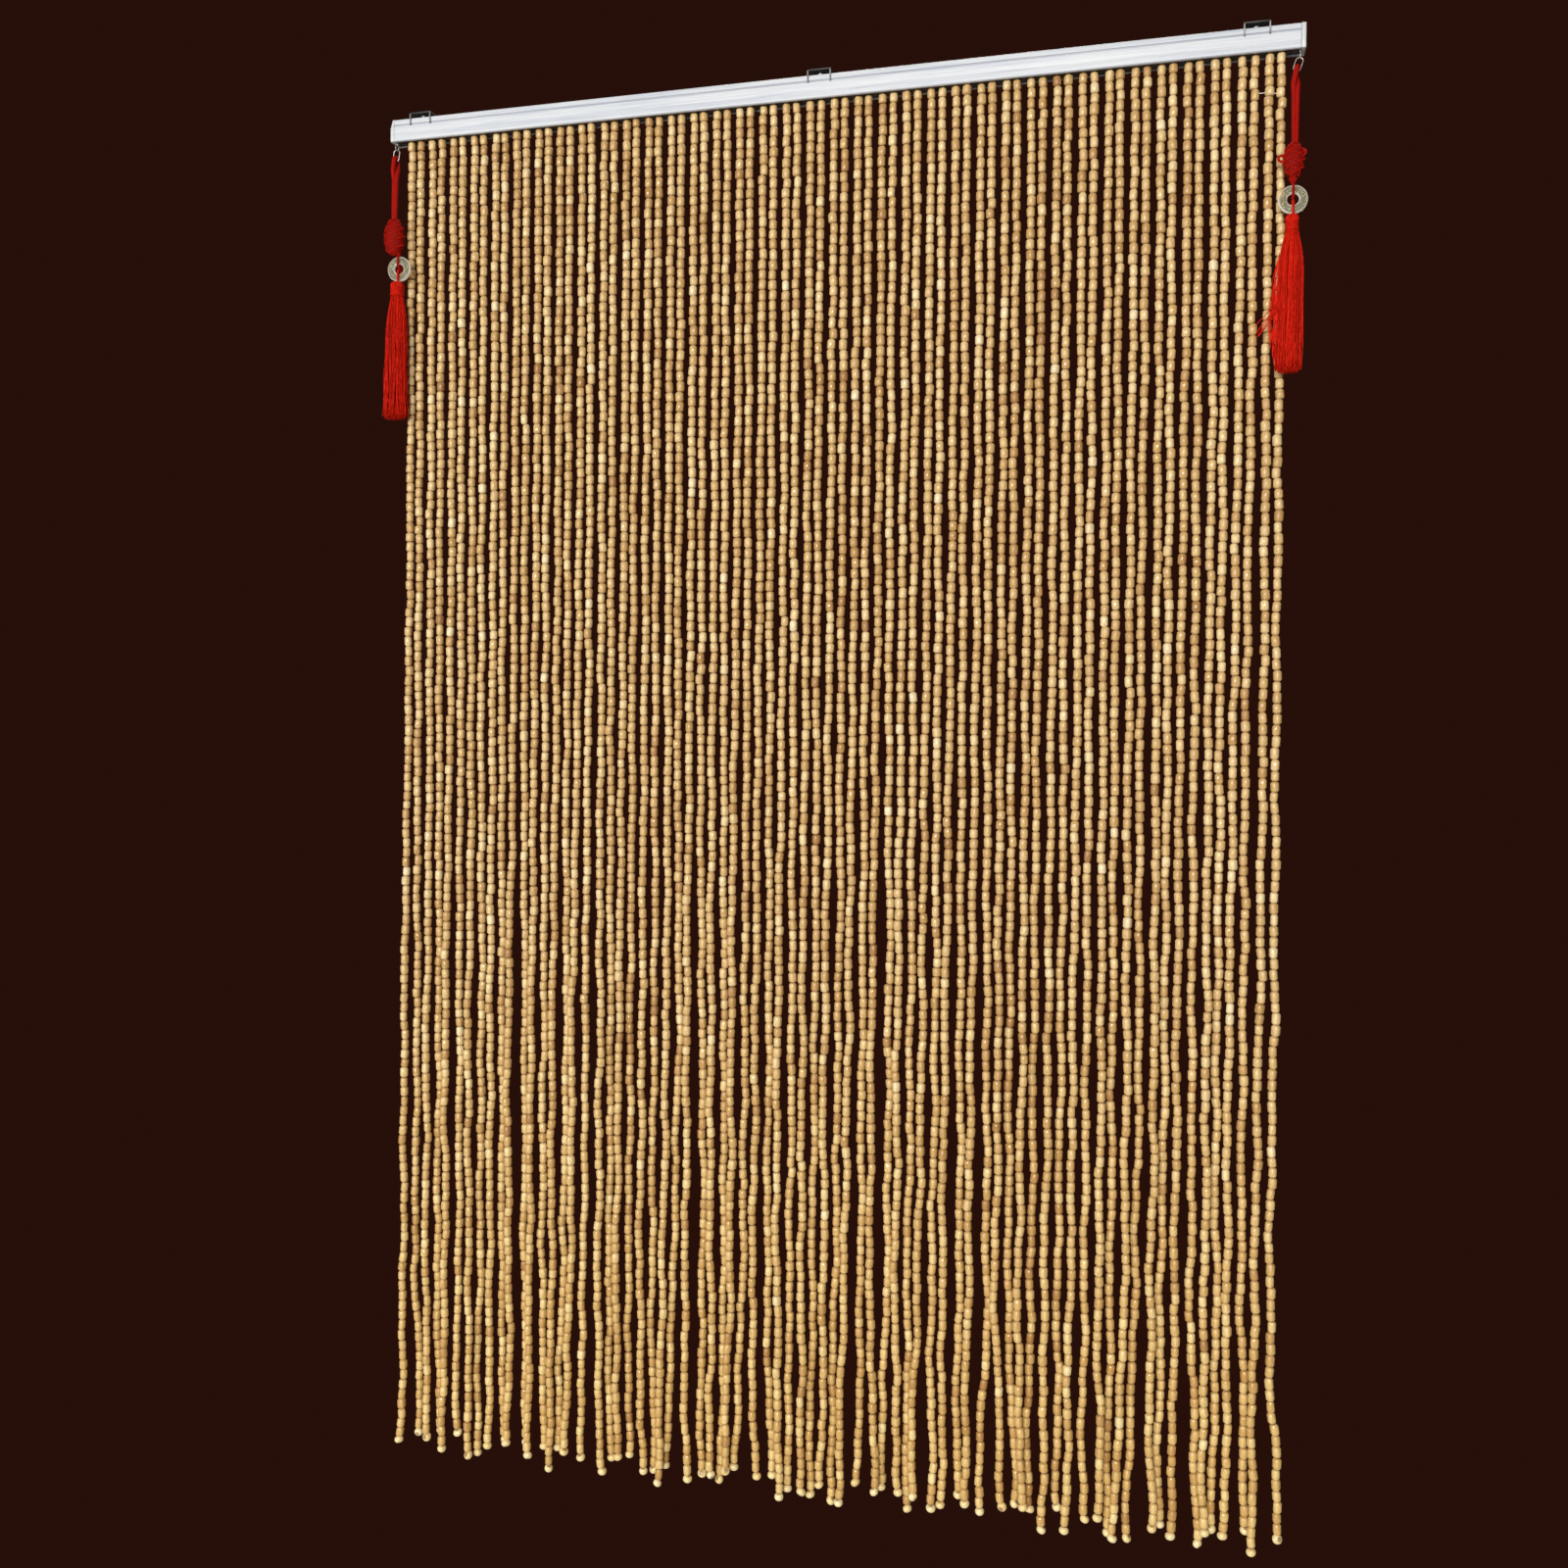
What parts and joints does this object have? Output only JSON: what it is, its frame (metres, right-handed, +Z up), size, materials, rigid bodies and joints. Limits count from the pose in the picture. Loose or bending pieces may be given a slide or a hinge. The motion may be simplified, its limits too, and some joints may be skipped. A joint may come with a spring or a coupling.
{
  "type": "bamboo bead door curtain on a headrail",
  "caption": "Door curtain of close wooden bead strings that hang in pairs from a slim white headrail on screwed clips, with a red knotted tassel and clear ring at each end.",
  "frame": {"origin": "on the top face of the middle clip, over the middle of the headrail", "axes": "+Z up, +X to the right along the headrail as the tassel side is seen, -Y out towards the viewer"},
  "size_m": [0.907, 0.0325, 1.3931],
  "materials": {
    "white_rail": "satin white with a faint grey lengthwise grain",
    "cap_plastic": "plain white moulding",
    "clip_plastic": "dark moulding with lighter hooked legs",
    "screw_steel": "dull",
    "bead_wood": "tumbled and lightly varnished, honey to tan from bead to bead",
    "bright_wire": "bright",
    "red_cord": "smooth knotted cord",
    "clear_ring": "polished, clear with a faint grey-green tone",
    "red_thread": "fine silky thread"
  },
  "bodies": {
    "root": {"headrail": "white_rail", "end_cap_left": "cap_plastic", "end_cap_right": "cap_plastic", "clip_left": "clip_plastic", "clip_middle": "clip_plastic", "clip_right": "clip_plastic", "screw_left": "screw_steel", "screw_middle": "screw_steel", "screw_right": "screw_steel", "bead_strings": "bead_wood", "eye_left": "bright_wire", "eye_right": "bright_wire", "link_left": "bright_wire", "link_right": "bright_wire", "knot_left": "red_cord", "knot_right": "red_cord", "ring_left": "clear_ring", "ring_right": "clear_ring", "tassel_left": "red_thread", "tassel_right": "red_thread"}
  },
  "joints": []
}
